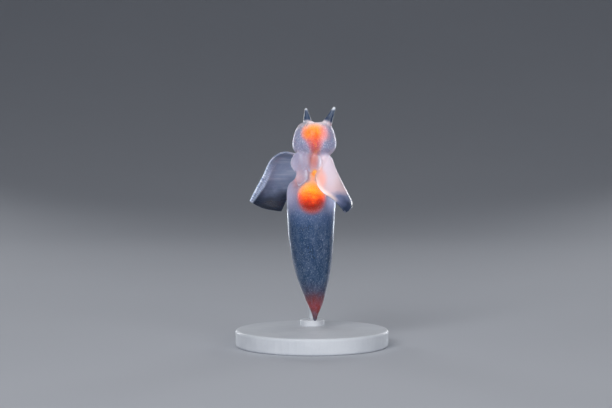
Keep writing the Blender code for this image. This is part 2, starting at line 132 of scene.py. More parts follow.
class Nodes:
    def __init__(self, name):
        self.material = bpy.data.materials.new(name)
        self.material.use_nodes = True
        self.tree = self.material.node_tree
        self.shader = self.tree.nodes["Principled BSDF"]

    def add(self, kind):
        return self.tree.nodes.new(kind)

    def link(self, output, target):
        self.tree.links.new(output, target)

    def coordinates(self, scale=(1, 1, 1), turn=(0, 0, 0), shift=(0, 0, 0)):
        source = self.add("ShaderNodeTexCoord")
        mapping = self.add("ShaderNodeMapping")
        mapping.inputs["Scale"].default_value = scale
        mapping.inputs["Rotation"].default_value = turn
        mapping.inputs["Location"].default_value = shift
        self.link(source.outputs["Object"], mapping.inputs["Vector"])
        return mapping.outputs["Vector"]

    def attribute(self, name):
        node = self.add("ShaderNodeAttribute")
        node.attribute_name = name
        return node.outputs["Fac"]

    def axis(self, letter):  # metres from the origin, Z from the floor
        source = self.add("ShaderNodeTexCoord")
        split = self.add("ShaderNodeSeparateXYZ")
        self.link(source.outputs["Object"], split.inputs[0])
        return split.outputs[letter]

    def bodyHeight(self):  # 0 at the tail's tip, 1 at the crown
        return self.span(self.axis("Z"), tailZ, crownZ, smooth=False)

    def rise(self, low, high, toLow=0.0, toHigh=1.0):  # between millimetres above the tail's tip
        return self.span(self.axis("Z"), tailZ + low * mm, tailZ + high * mm, toLow, toHigh)

    def sides(self, right, left):  # one value on the animal's right, another on its left
        return self.span(self.axis("X"), -0.5 * mm, 0.5 * mm, right, left)

    def noise(self, fineness, detail=3.0, rough=0.55, **place):
        node = self.add("ShaderNodeTexNoise")
        node.inputs["Scale"].default_value = fineness
        node.inputs["Detail"].default_value = detail
        node.inputs["Roughness"].default_value = rough
        self.link(self.coordinates(**place), node.inputs["Vector"])
        return node.outputs["Fac"]

    def fibres(self, along, across, alongCount, acrossCount):  # noise drawn out over a piece's own directions
        place = self.add("ShaderNodeCombineXYZ")
        slanted = self.plus(self.times(along, alongCount), self.times(across, 0.25 * alongCount), clamp=False)
        self.link(slanted, place.inputs[0])
        self.link(self.times(across, acrossCount), place.inputs[1])
        node = self.add("ShaderNodeTexNoise")
        node.inputs["Scale"].default_value = 1.0
        node.inputs["Detail"].default_value = 2.0
        self.link(place.outputs[0], node.inputs["Vector"])
        return node.outputs["Fac"]

    def flecks(self, fineness, low, high, **place):  # uneven small spots
        return self.span(self.noise(fineness, detail=1.5, rough=0.4, **place), low, high)

    def span(self, value, low, high, toLow=0.0, toHigh=1.0, smooth=True):
        node = self.add("ShaderNodeMapRange")
        node.interpolation_type = "SMOOTHSTEP" if smooth else "LINEAR"
        node.inputs["From Min"].default_value = low
        node.inputs["From Max"].default_value = high
        node.inputs["To Min"].default_value = toLow
        node.inputs["To Max"].default_value = toHigh
        self.link(value, node.inputs["Value"])
        return node.outputs["Result"]

    def calc(self, kind, first, second, clamp=False):
        node = self.add("ShaderNodeMath")
        node.operation = kind
        node.use_clamp = clamp
        for socket, value in zip(node.inputs, (first, second)):
            if isinstance(value, (int, float)):
                socket.default_value = value
            else:
                self.link(value, socket)
        return node.outputs[0]

    def times(self, first, *others):
        for other in others:
            first = self.calc("MULTIPLY", first, other)
        return first

    def plus(self, first, second, clamp=True):
        return self.calc("ADD", first, second, clamp)

    def larger(self, first, second):
        return self.calc("MAXIMUM", first, second, True)

    def without(self, value, share, most=1.0):  # the value, held back by up to most where the share is 1
        return self.times(value, self.calc("SUBTRACT", 1.0, self.times(share, most)))

    def stir(self, value, pattern, amount):  # the value, moved up and down by a pattern
        return self.plus(value, self.times(self.calc("SUBTRACT", pattern, 0.5), amount))

    def ramp(self, value, stops):
        node = self.add("ShaderNodeValToRGB")
        elements = node.color_ramp.elements
        while len(elements) < len(stops):
            elements.new(1.0)
        for element, (place, colour) in zip(elements, stops):
            element.position = place
            element.color = colour
        self.link(value, node.inputs["Fac"])
        return node.outputs["Color"]

    def mix(self, share, first, second):
        node = self.add("ShaderNodeMix")
        node.data_type = "RGBA"
        for socket, value in zip((node.inputs[0], node.inputs[6], node.inputs[7]), (share, first, second)):
            if isinstance(value, tuple):
                socket.default_value = value
            else:
                self.link(value, socket)
        return node.outputs[2]

    def paintZones(self, colour, alpha, zones, clearness=1.0):  # zone tints, clearness and painted glow in the flesh: the organs' tint seen through it, painted shade and painted light
        light = 0.0
        for centre, radii, tint, most, clear, firm, glow in zones:
            place = self.coordinates(
                scale=tuple(1 / (radius * mm) for radius in radii),
                shift=tuple(-middle / radius for middle, radius in zip(centre, radii)),
            )
            distance = self.add("ShaderNodeVectorMath")
            distance.operation = "LENGTH"
            self.link(place, distance.inputs[0])
            share = self.span(distance.outputs["Value"], 1.0, firm, 0.0, most)
            colour = self.mix(share, colour, tint)
            if clear:
                alpha = self.mix(share, alpha, grey(clear * clearness))
            if glow:
                light = self.larger(light, self.times(share, glow))
        return colour, alpha, light

    def bump(self, height, strength, distance):
        node = self.add("ShaderNodeBump")
        node.inputs["Strength"].default_value = strength
        node.inputs["Distance"].default_value = distance
        self.link(height, node.inputs["Height"])
        self.link(node.outputs["Normal"], self.shader.inputs["Normal"])

    def finish(self, values):
        for key, value in values.items():
            self.shader.inputs[key].default_value = value
        return self.material


# The skin: one surface over all the flesh, from the frame's solids
skinValues = {
    "nodes": [
        "tail_tip",
        "tail",
        "torso",
        "neck",
        "head",
        "tentacle_left",
        "tentacle_right",
        "nape_tentacle_left",
        "nape_tentacle_right",
        "foot_lobe_left",
        "foot_lobe_right",
        "foot_lobe_middle",
        "wing_left",
        "wing_right",
    ],
    "grow": 0.19 * mm,  # closes the gaps between neighbours
    "shrink": 0.17 * mm,
    "voxel": 0.154 * mm,
    "smoothSteps": 5,
    "rimBend": (0.9 / mm, 2.6 / mm),  # how sharply a margin bends where its painted pale rim light starts and is full
    "fades": {"wing": (0.1, 1.6), "lobe": (0.1, 0.5), "feeler": (0.1, 0.8)},  # millimetres off the body
}
skinLooks = {
    # millimetres above the tail's tip; the flesh's own tints, with the trunk's dark slate partly painted
    # shade and the pale upper body partly painted light
    "along": [
        (0.0, srgb(46, 46, 62)),
        (1.2, srgb(108, 34, 36)),
        (3.0, srgb(172, 38, 32)),
        (4.8, srgb(140, 56, 58)),
        (6.6, srgb(74, 78, 108)),
        (9.0, srgb(40, 82, 122)),
        (15.0, srgb(30, 76, 120)),
        (20.0, srgb(40, 84, 130)),
        (22.4, srgb(90, 122, 172)),
        (24.8, srgb(176, 188, 236)),
        (28.5, srgb(226, 212, 240)),
        (31.0, srgb(242, 214, 222)),
        (34.5, srgb(238, 222, 232)),
        (36.5, srgb(180, 200, 246)),
        (40.0, srgb(176, 200, 248)),
        (41.2, srgb(240, 234, 246)),
        (42.0, srgb(250, 238, 246)),
    ],
    "alphaAlong": [
        (0.0, 0.92),
        (3.0, 0.75),
        (7.0, 0.62),
        (18.0, 0.6),
        (22.0, 0.5),
        (24.5, 0.36),
        (28.5, 0.38),
        (30.5, 0.6),
        (35.0, 0.6),
        (37.0, 0.46),
        (40.5, 0.5),
        (41.4, 0.75),
        (42.0, 0.8),
    ],
    "speck": srgb(232, 238, 255),
    # the pale rim along thin margins is painted rim light
    "rim": srgb(236, 238, 252),
    "cloud": srgb(150, 168, 202),
    "lips": srgb(246, 222, 226),
    "slit": srgb(128, 58, 62),
    "lobe": srgb(178, 184, 224),
    "feeler": srgb(52, 80, 118),
    "feelerTip": srgb(232, 240, 250),
    "cloudShare": 0.26,
    "fineSpecks": 0.55,  # against the coarse ones
    "speckShare": (0.32, 1.0),  # on the trunk, and on the head
    "speckCover": (0.12, 0.5),
    "speckLight": 0.16,  # painted glow of the specks on the head
    "lobeShare": 0.6,
    "lipShare": 0.4,
    "slitShare": 0.8,
    "rimShare": 0.95,
}
skinGloss = {
    "Roughness": 0.3,
    "Specular IOR Level": 0.5,
    "Subsurface Weight": 0.5,
    "Subsurface Radius": (1.0, 1.0, 1.0),
    "Subsurface Scale": 0.6 * mm,
    "Sheen Weight": 0.9,
    "Sheen Roughness": 0.2,
    "Sheen Tint": srgb(222, 228, 250),
    "Coat Weight": 0.2,
    "Coat Roughness": 0.1,
    # strength of the painted glow
    "Emission Strength": 0.6,
}


def mergedCopy(name):
    pick(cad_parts[name])
    bpy.ops.object.duplicate()
    copy = bpy.context.object
    copy.hide_render = False
    editAll(copy)
    bpy.ops.mesh.remove_doubles(threshold=0.001 * mm)
    bpy.ops.transform.shrink_fatten(value=skinValues["grow"])
    leaveEdit()
    return copy


def makeSkin():
    copies = [mergedCopy(name) for name in skinValues["nodes"]]
    pick(*copies)
    bpy.ops.object.join()
    skin = bpy.context.object
    nameBoth(skin, "skin")
    skin.data.materials.clear()
    withModifier(skin, "REMESH", mode="VOXEL", voxel_size=skinValues["voxel"])
    withModifier(skin, "SMOOTH", factor=0.5, iterations=skinValues["smoothSteps"])
    editAll(skin)
    bpy.ops.transform.shrink_fatten(value=-skinValues["shrink"])
    leaveEdit()
    pick(skin)
    bpy.ops.object.shade_smooth()
    return skin


skin = makeSkin()
print("skin made", len(skin.data.polygons), "faces")


# What the skin's patterns follow: how much of a point belongs to a wing or lobe,
# and where on the wing it lies. The edges' points are in millimetres, with heights above the tail's tip.
wingEdges = {
    "wing_left": {
        "front": [(3.4, -2.0, 34.75), (4.6, -2.75, 32.2), (6.1, -3.35, 28.9), (8.3, -4.05, 24.95)],
        "rear": [
            (0.85, -4.6, 30.0),
            (1.15, -5.6, 28.6),
            (2.1, -6.6, 27.4),
            (4.0, -7.8, 26.2),
            (7.05, -8.9, 22.75),
        ],
    },
    "wing_right": {
        "front": [
            (-3.9, 1.9, 35.1),
            (-6.2, 2.45, 35.5),
            (-8.2, 2.6, 34.5),
            (-10.5, 2.4, 30.4),
            (-13.65, 1.8, 24.5),
        ],
        "rear": [
            (-2.5, 3.6, 29.6),
            (-3.5, 4.4, 29.0),
            (-4.5, 5.1, 27.0),
            (-5.5, 5.3, 24.8),
            (-6.7, 5.1, 22.3),
        ],
    },
}


wingValues = {
    # millimetres above the tail's tip; darker towards the bottom, partly painted shade, and the near wing
    # paler than the far one
    "far": [
        (23.0, srgb(16, 28, 48)),
        (25.8, srgb(34, 50, 76)),
        (28.0, srgb(112, 130, 162)),
        (30.5, srgb(152, 168, 198)),
        (34.0, srgb(140, 154, 186)),
        (35.6, srgb(104, 120, 152)),
    ],
    "near": [
        (22.6, srgb(30, 46, 74)),
        (24.8, srgb(50, 68, 102)),
        (26.2, srgb(136, 146, 186)),
        (27.6, srgb(242, 216, 224)),
        (30.5, srgb(255, 222, 216)),
        (35.0, srgb(238, 222, 232)),
    ],
    "alpha": [(23.0, 0.8), (26.5, 0.74), (29.0, 0.74), (32.0, 0.8), (36.0, 0.7)],
    "streak": srgb(196, 204, 224),
    # the band is a painted lit band along the near wing's rear edge
    "band": srgb(255, 226, 216),
    "strip": srgb(158, 182, 218),
    "stripLight": srgb(222, 232, 250),
    "stripEnd": 0.27,  # share of the wing's breadth
    "stripTaper": 0.14,
    "streakShare": 0.55,
    "stripShare": 0.92,
    # stripGlow and bandGlow are painted glow
    "stripGlow": 0.4,
    "bandShare": 0.85,
    "bandGlow": 0.6,
}
# centre in millimetres from the middle of the floor, radii in millimetres, tint, its strongest share,
# how clear the flesh is there, the firm middle of the zone, and how much painted glow it gives off
glowValues = [
    ((-2.3, -1.0, 35.2), (2.4, 4.6, 2.4), srgb(252, 208, 206), 0.8, 0.66, 0.3, 0.65),  # under the foot lobe
    ((-3.1, -1.0, 33.9), (1.4, 4.0, 1.9), srgb(226, 146, 152), 0.6, None, 0.2, 0.15),  # its redder lower end
    ((2.4, -2.5, 37.9), (1.7, 4.5, 3.8), srgb(232, 222, 234), 0.9, 0.75, 0.45, 0.6),  # painted light beside the neck, lifting the shade of the crevice there
    ((0.52, -1.0, 35.6), (1.8, 5.0, 2.4), srgb(255, 200, 150), 0.85, 0.35, 0.3, 0.6),  # flesh over the gut
    ((0.35, -1.0, 39.0), (1.9, 5.2, 2.9), srgb(192, 78, 82), 0.92, 0.4, 0.35, 0.25),  # gullet, lower part
    ((0.62, -1.0, 41.7), (2.0, 5.0, 2.4), srgb(206, 76, 66), 0.85, 0.2, 0.45, 0.3),  # gullet, upper part
    ((1.7, -3.6, 36.0), (1.5, 3.0, 2.2), srgb(255, 196, 176), 0.9, None, 0.3, 0.6),  # painted light by the near wing's root, lifting its shade
    ((-0.1, -0.3, 31.0), (4.0, 7.2, 4.5), srgb(252, 108, 8), 0.96, 0.15, 0.66, 0.3),  # gut
    ((-0.5, -0.3, 33.1), (2.8, 6.4, 2.3), srgb(255, 190, 30), 0.8, None, 0.4, 0.5),  # gut's yellow top
    ((-0.1, -0.3, 29.5), (2.9, 6.8, 1.4), srgb(140, 14, 24), 0.8, None, 0.3, 0.0),  # gut's dark lower band
    ((0.55, -0.6, 43.0), (2.6, 5.5, 1.9), srgb(222, 82, 54), 0.85, 0.2, 0.4, 0.12),  # taper of mouth's parts
    ((0.4, -0.4, 44.4), (3.1, 6.0, 2.6), srgb(252, 124, 12), 0.9, 0.15, 0.55, 0.2),  # mouth's parts
    ((-0.9, -0.4, 44.2), (1.5, 6.0, 1.4), srgb(255, 190, 50), 0.7, None, 0.3, 0.4),  # their yellow side
    ((3.0, -0.4, 44.0), (1.4, 6.0, 2.2), srgb(250, 182, 184), 0.72, None, 0.2, 0.25),  # their pink side
    ((-1.7, -3.2, 41.2), (1.3, 2.4, 1.9), srgb(112, 126, 178), 0.42, None, 0.0, 0.0),  # painted shade in the hollow of the head
    ((2.4, -2.8, 40.7), (2.0, 2.8, 1.3), srgb(98, 120, 170), 0.55, None, 0.0, 0.0),  # painted shade in the hollow beside the taper
    ((0.55, -3.2, 36.35), (0.8, 1.9, 1.1), srgb(254, 176, 60), 0.75, 0.2, 0.4, 0.5),  # drop in the neck
    ((4.8, -2.6, 32.0), (3.0, 5.5, 6.0), srgb(206, 218, 252), 0.95, 0.75, 0.15, 0.9),  # painted light on the upper flank, lifting the near wing's shadow
    ((1.0, -1.4, 47.1), (2.8, 4.0, 1.0), srgb(252, 240, 244), 0.9, 0.85, 0.3, 0.6),  # painted light on the crown
    ((-4.8, -1.6, 32.0), (2.4, 5.0, 5.0), srgb(204, 210, 246), 0.7, 0.65, 0.0, 0.45),  # painted light on the other upper flank
]
# the same for the near wing: painted light and glow in its upper part, lifting the shade at its root
wingGlowValues = [
    ((3.4, -3.0, 36.0), (3.4, 6.0, 5.2), srgb(230, 220, 234), 0.8, None, 0.4, 0.35),
    ((1.7, -4.4, 34.8), (1.9, 4.0, 3.0), srgb(255, 186, 172), 0.9, None, 0.3, 0.45),
    ((1.2, -3.8, 37.0), (1.3, 3.0, 2.8), srgb(250, 200, 188), 0.8, None, 0.4, 0.7),
]


def nearestOnLine(point, line):  # distance, and the share of the line's length
    lengths = [(b - a).length for a, b in zip(line, line[1:])]
    total = sum(lengths)
    best = None
    walked = 0.0
    for a, b, length in zip(line, line[1:], lengths):
        share = min(1.0, max(0.0, (point - a).dot(b - a) / length**2))
        distance = (point - a.lerp(b, share)).length
        if best is None or distance < best[0]:
            best = (distance, (walked + share * length) / total)
        walked += length
    return best


def thinEdges(skin):  # 1 along margins and ridges thinner than about half a millimetre
    vertices = skin.data.vertices
    sums = [Vector() for _ in vertices]
    counts = [0] * len(vertices)
    lengths = [0.0] * len(vertices)
    for edge in skin.data.edges:
        a, b = edge.vertices
        between = vertices[b].co - vertices[a].co
        sums[a] += between
        sums[b] -= between
        length = between.length
        for index in (a, b):
            counts[index] += 1
            lengths[index] += length
    bend = []
    for vertex, offset, count, length in zip(vertices, sums, counts, lengths):
        mean = length / count
        bend.append(-4.0 * (offset / count).dot(vertex.normal) / mean**2)  # about 1 / radius, both ways added
    neighbours = [tuple(edge.vertices) for edge in skin.data.edges]
    for _ in range(3):
        total = list(bend)
        seen = [1] * len(bend)
        for a, b in neighbours:
            total[a] += bend[b]
            total[b] += bend[a]
            seen[a] += 1
            seen[b] += 1
        bend = [value / count for value, count in zip(total, seen)]
    return [smoothStep(*skinValues["rimBend"], value) for value in bend]


def treeOf(names):
    bm = bmesh.new()
    for name in names:
        bm.from_mesh(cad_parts[name].data)
    tree = BVHTree.FromBMesh(bm)
    bm.free()
    return tree


def placed(points):
    return [Vector(point) * mm + Vector((0, 0, tailZ)) for point in points]


def markSkin(skin):
    bodyTree = treeOf(["tail_tip", "tail", "torso", "neck", "head"])
    lobeTree = treeOf(["foot_lobe_left", "foot_lobe_right", "foot_lobe_middle"])
    feelerTree = treeOf(["tentacle_left", "tentacle_right", "nape_tentacle_left", "nape_tentacle_right"])
    wingTrees = {name: treeOf([name]) for name in wingEdges}
    lines = {
        name: {side: placed(points) for side, points in edges.items()} for name, edges in wingEdges.items()
    }
    fades = {name: (low * mm, high * mm) for name, (low, high) in skinValues["fades"].items()}
    count = len(skin.data.vertices)
    wing, chord, span, lobe, feeler = ([0.0] * count for _ in range(5))
    for index, vertex in enumerate(skin.data.vertices):
        point = vertex.co
        toBody = bodyTree.find_nearest(point)[3]
        if toBody < 0.05 * mm:
            continue
        toLobe = lobeTree.find_nearest(point)[3]
        toFeeler = feelerTree.find_nearest(point)[3]
        name = "wing_left" if point.x > 0 else "wing_right"
        toWing = wingTrees[name].find_nearest(point)[3]
        wing[index] = smoothStep(*fades["wing"], toBody) if toWing < min(toLobe, toFeeler) else 0.0
        lobe[index] = smoothStep(*fades["lobe"], toBody) if toLobe < min(toWing, toFeeler) else 0.0
        feeler[index] = smoothStep(*fades["feeler"], toBody) if toFeeler < min(toWing, toLobe) else 0.0
        if wing[index] > 0:
            toFront, alongFront = nearestOnLine(point, lines[name]["front"])
            toRear, alongRear = nearestOnLine(point, lines[name]["rear"])
            chord[index] = toFront / (toFront + toRear)
            span[index] = alongFront * (1 - chord[index]) + alongRear * chord[index]
    writeAttribute(skin, "edge", thinEdges(skin))
    for key, values in (("wing", wing), ("chord", chord), ("span", span), ("lobe", lobe), ("feeler", feeler)):
        writeAttribute(skin, key, values)


# The mouth: an upright slit between two low lips, in the front of the crown
mouthValues = {
    "middle": Vector((0.6 * mm, 0.0, tailZ + 40.8 * mm)) + belly * 2.25 * mm,
    "tilt": math.radians(50),  # how far it looks up
    "lipHeight": 0.2 * mm,
    "lipReach": 0.78 * mm,  # from the slit outward
    "lipLength": 1.6 * mm,
    "slitDepth": 0.36 * mm,
    "slitWidth": 0.12 * mm,
    "slitLength": 1.15 * mm,
}


def shapeMouth(skin, v):
    outward = belly * math.cos(v["tilt"]) + Vector((0, 0, math.sin(v["tilt"])))
    upright = ownLeft.cross(outward)
    editAll(skin)
    bpy.ops.mesh.select_all(action="DESELECT")
    bm = bmesh.from_edit_mesh(skin.data)
    for face in bm.faces:
        place = face.calc_center_median() - v["middle"]
        near = (place.dot(ownLeft) / v["lipReach"]) ** 2 + (place.dot(upright) / v["lipLength"]) ** 2 < 1.5
        face.select = near and 0 < place.dot(outward) < 2 * mm and face.normal.dot(outward) > 0.3
    bmesh.update_edit_mesh(skin.data)
    bpy.ops.mesh.subdivide(number_cuts=2, smoothness=0.0)
    leaveEdit()
    slit = [0.0] * len(skin.data.vertices)
    lips = [0.0] * len(skin.data.vertices)
    for index, vertex in enumerate(skin.data.vertices):
        place = vertex.co - v["middle"]
        across, along, out = place.dot(ownLeft), place.dot(upright), place.dot(outward)
        spread = math.hypot(across / v["lipReach"], along / v["lipLength"])
        if spread > 1 or not 0 < out < 2 * mm:
            continue
        lips[index] = 1 - smoothStep(0.25, 1.0, spread)
        narrow = 1 - smoothStep(0.45, 1.0, abs(along) / v["slitLength"])
        slit[index] = narrow * math.exp(-((across / v["slitWidth"]) ** 2))
        vertex.co += outward * (lips[index] * v["lipHeight"] - slit[index] * v["slitDepth"])
    writeAttribute(skin, "slit", slit)
    writeAttribute(skin, "lips", lips)


markSkin(skin)
shapeMouth(skin, mouthValues)
print("skin marked, mouth cut:", len(skin.data.polygons), "faces")


def skinMaterial(v, wings):
    made = Nodes("fleshSkin")
    height = made.stir(made.bodyHeight(), made.noise(320.0, scale=(1, 1, 0.6)), 0.05)
    colour = made.ramp(height, bodyHeights(v["along"]))
    alpha = made.ramp(height, greyHeights(v["alphaAlong"]))

    # white specks in loose upright rows over a cloudy mottling
    clouds = made.span(made.noise(1100.0, detail=5.0, scale=(1, 1, 0.45)), 0.38, 0.68)
    colour = made.mix(made.times(clouds, v["cloudShare"]), colour, v["cloud"])
    wing = made.attribute("wing")
    coarse = made.flecks(3900.0, 0.58, 0.72, scale=(1, 1, 0.7))
    fine = made.flecks(6400.0, 0.52, 0.67, scale=(1, 1, 0.6), shift=(2, 5, 1))
    specks = made.without(made.larger(coarse, made.times(fine, v["fineSpecks"])), wing)
    specks = made.times(specks, made.rise(4, 9, 0.3, 1.0))
    colour = made.mix(made.times(specks, made.rise(22, 37, *v["speckShare"])), colour, v["speck"])

    # the organs' tint, painted shade in hollows and painted light and glow in zones, under the specks
    lobe = made.attribute("lobe")
    colour = made.mix(made.times(lobe, v["lobeShare"]), colour, v["lobe"])
    colour, alpha, light = made.paintZones(colour, alpha, glowValues)
    onHead = made.rise(34, 37)
    speckCover = made.span(onHead, 0.0, 1.0, *v["speckCover"], smooth=False)
    alpha = made.mix(made.times(specks, speckCover), alpha, grey(0.95))
    # painted glow of the specks on the head
    light = made.larger(light, made.times(specks, onHead, v["speckLight"]))

    # wings: pale at the root and along the rolled front edge, slate and clear further out, and darker towards
    # the bottom in part as painted shade
    chord = made.attribute("chord")
    span = made.attribute("span")
    onLeft = made.sides(0.0, 1.0)
    fade = made.stir(height, made.noise(400.0, scale=(0.5, 0.5, 1.0)), 0.08)
    far = made.ramp(fade, bodyHeights(wings["far"]))
    near = made.ramp(fade, bodyHeights(wings["near"]))
    outer = made.mix(onLeft, far, near)
    streaks = made.span(made.noise(1700.0, scale=(0.1, 0.1, 1.0), turn=(0, 0.12, 0)), 0.42, 0.7)
    crossing = made.span(made.fibres(span, chord, 3.0, 22.0), 0.45, 0.7)
    streaks = made.larger(streaks, made.times(crossing, 0.35))
    streakZone = made.times(made.span(fade, bodyShare(26.0), bodyShare(29.5)), made.sides(1.0, 0.25))
    outer = made.mix(made.times(streaks, streakZone, wings["streakShare"]), outer, wings["streak"])
    taper = made.span(span, 0.65, 1.0, 0.0, wings["stripTaper"], smooth=False)
    stripPlace = made.plus(chord, taper, clamp=False)
    strip = made.span(stripPlace, wings["stripEnd"] + 0.03, wings["stripEnd"] - 0.05)
    strip = made.times(strip, made.span(span, 0.28, 0.48, 0.05, 1.0), made.sides(1.0, 0.4))
    hatch = made.span(made.fibres(span, chord, 90.0, 26.0), 0.38, 0.62)
    stripColour = made.mix(hatch, wings["strip"], wings["stripLight"])
    outer = made.mix(made.times(strip, wings["stripShare"]), outer, stripColour)

    # the near wing: a painted lit band with painted glow along its rear edge, and painted light in its upper
    # part that lifts the shade at its root
    band = made.times(made.span(chord, 0.8, 0.95), onLeft, made.rise(25.2, 26.4))
    paintedLitWing, alpha, wingLight = made.paintZones(outer, alpha, wingGlowValues)
    upper = made.times(made.span(fade, bodyShare(25.6), bodyShare(27.2)), onLeft)
    outer = made.mix(upper, outer, paintedLitWing)
    outer = made.mix(made.times(band, wings["bandShare"]), outer, wings["band"])
    wingLight = made.times(made.larger(wingLight, made.times(band, wings["bandGlow"])), upper)
    # painted glow along the pale strip, mostly on the far wing
    wingLight = made.larger(wingLight, made.times(strip, hatch, wings["stripGlow"]))
    colour = made.mix(wing, colour, outer)
    light = made.plus(made.without(light, wing), made.times(wingLight, wing))
    atRoot = made.times(made.rise(29.0, 30.5), onLeft, made.span(made.axis("X"), 3.0 * mm, 1.2 * mm))

    # feelers, painted pale rim light along the thin margins, and the mouth
    feeler = made.attribute("feeler")
    colour = made.mix(feeler, colour, v["feeler"])
    tips = made.span(made.axis("Z"), crownZ + 2.1 * mm, crownZ + 2.6 * mm)
    colour = made.mix(tips, colour, v["feelerTip"])
    edge = made.without(made.attribute("edge"), feeler, 0.8)
    edge = made.without(edge, lobe, 0.35)
    edge = made.times(edge, made.rise(6, 12))
    edge = made.without(edge, made.without(wing, onLeft), 0.96)
    edge = made.without(edge, made.times(wing, atRoot))
    rearEnd = made.times(made.span(chord, 0.5, 0.7), made.rise(27, 25.5), wing)
    edge = made.without(edge, rearEnd, 0.8)
    rim = made.times(edge, v["rimShare"])
    colour = made.mix(rim, colour, v["rim"])
    colour = made.mix(made.times(made.attribute("lips"), v["lipShare"]), colour, v["lips"])
    slit = made.span(made.attribute("slit"), 0.3, 0.9)
    colour = made.mix(made.times(slit, v["slitShare"]), colour, v["slit"])
    made.link(colour, made.shader.inputs["Base Color"])
    # painted glow: the flesh gives off its own colour in the glowing zones, though it is no lamp
    made.link(made.mix(light, grey(0.0), colour), made.shader.inputs["Emission Color"])

    wingAlpha = made.ramp(fade, greyHeights(wings["alpha"]))
    for share, cover in ((strip, 0.94), (band, 0.85), (atRoot, 0.6)):
        wingAlpha = made.mix(share, wingAlpha, grey(cover))
    alpha = made.mix(wing, alpha, wingAlpha)
    for share, cover in ((feeler, 0.66), (tips, 0.95), (rim, 0.92), (slit, 0.95)):
        alpha = made.mix(share, alpha, grey(cover))
    made.link(alpha, made.shader.inputs["Alpha"])
    made.bump(made.noise(1500.0, detail=2.0), 0.2, 0.05 * mm)
    return made.finish(skinGloss)


skin.data.materials.append(skinMaterial(skinLooks, wingValues))
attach(skin, "root")
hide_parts(*skinValues["nodes"])
print("skin coloured")


# Inside the body: a dark slate inner wall, painted shade that stands in for the darkness seen through the
# clear trunk, and the orange organs
wallValues = {
    # millimetres: height above the tail's tip, half width, half depth, place across
    "rings": [
        (1.5, 0.66, 0.62, 0.64),
        (2.9, 1.25, 1.14, 0.66),
        (4.6, 1.95, 1.77, 0.58),
        (6.4, 2.55, 2.32, 0.45),
        (8.8, 3.29, 2.98, 0.25),
        (12.5, 4.07, 3.68, 0.05),
        (17.0, 4.68, 4.24, -0.16),
        (21.5, 4.94, 4.46, -0.22),
        (25.4, 5.12, 4.6, -0.16),
        (27.7, 5.06, 4.52, -0.1),
        (28.8, 4.72, 4.2, -0.06),
        (29.7, 3.75, 3.5, -0.02),
        (30.4, 3.34, 3.16, 0.02),
        (31.6, 3.24, 3.06, 0.1),
        (33.0, 3.12, 2.96, 0.25),
        (34.5, 3.0, 2.85, 0.42),
        (35.0, 2.4, 2.3, 0.45),
        (35.2, 0.7, 0.7, 0.45),
    ],
    "depth": 0.34,  # under the skin
    # the dark slate low in the trunk is painted shade
    "colours": [
        (1.0, srgb(110, 44, 42)),
        (3.5, srgb(128, 36, 34)),
        (5.6, srgb(76, 48, 66)),
        (8.0, srgb(18, 54, 92)),
        (18.0, srgb(16, 54, 96)),
        (22.5, srgb(84, 108, 156)),
        (25.0, srgb(160, 168, 212)),
        (29.0, srgb(220, 190, 206)),
        (33.0, srgb(232, 196, 204)),
    ],
    "cloud": srgb(60, 92, 132),
    "cloudShare": 0.3,
    "alpha": [(1.0, 0.75), (5.0, 0.85), (18.0, 0.92), (21.5, 0.72), (24.5, 0.26), (29.0, 0.26), (34.0, 0.26)],
    "clearness": 0.25,  # against the skin's, over the organs
}


def turnedBody(name, rings, inset=0.0):  # a lofted mass from rings, rounded by subdivision
    pickNone()
    low, width, depth, across = rings[0]
    bpy.ops.mesh.primitive_circle_add(vertices=48, radius=1.0, fill_type="NGON", location=(0, 0, 0))
    obj = bpy.context.object
    nameBoth(obj, name)
    editAll(obj)
    bpy.ops.transform.resize(value=((width - inset) * mm, (depth - inset) * mm, 1.0))
    bpy.ops.transform.translate(value=(across * mm, 0.0, tailZ + low * mm))
    for (z0, w0, d0, x0), (z1, w1, d1, x1) in zip(rings, rings[1:]):
        step = ((x1 - x0) * mm, 0.0, (z1 - z0) * mm)
        bpy.ops.mesh.extrude_region_move(TRANSFORM_OT_translate={"value": step})
        bpy.ops.transform.resize(
            value=((w1 - inset) / (w0 - inset), (d1 - inset) / (d0 - inset), 1.0),
            center_override=(x1 * mm, 0.0, tailZ + z1 * mm),
        )
    bpy.ops.mesh.select_all(action="SELECT")
    bpy.ops.mesh.normals_make_consistent(inside=False)
    leaveEdit()
    withModifier(obj, "SUBSURF", levels=2, render_levels=2)
    bpy.ops.object.shade_smooth()
    settle(obj)
    return obj


def roughen(obj, depth, fineness):  # uneven, grainy outside
    texture = bpy.data.textures.new(obj.name + "Grain", "CLOUDS")
    texture.noise_scale = 1.0 / fineness
    withModifier(
        obj, "DISPLACE", texture=texture, strength=depth * mm, mid_level=0.5, texture_coords="GLOBAL"
    )


def wallMaterial(v):
    made = Nodes("innerWall")
    height = made.bodyHeight()
    clouds = made.span(made.noise(300.0, detail=4.0, scale=(1, 1, 0.4)), 0.4, 0.7)
    colour = made.ramp(height, bodyHeights(v["colours"]))
    colour = made.mix(made.times(clouds, v["cloudShare"]), colour, v["cloud"])
    alpha = made.ramp(made.stir(height, clouds, 0.05), greyHeights(v["alpha"]))
    colour, alpha = made.paintZones(colour, alpha, glowValues, v["clearness"])[:2]
    made.link(colour, made.shader.inputs["Base Color"])
    made.link(alpha, made.shader.inputs["Alpha"])
    made.bump(clouds, 0.12, 0.1 * mm)
    return made.finish({"Roughness": 0.6})


wall = turnedBody("innerWall", wallValues["rings"], wallValues["depth"])
wall.data.materials.append(wallMaterial(wallValues))
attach(wall, "root")

organPebbles = {"bright": srgb(254, 196, 60), "dark": srgb(180, 20, 12)}


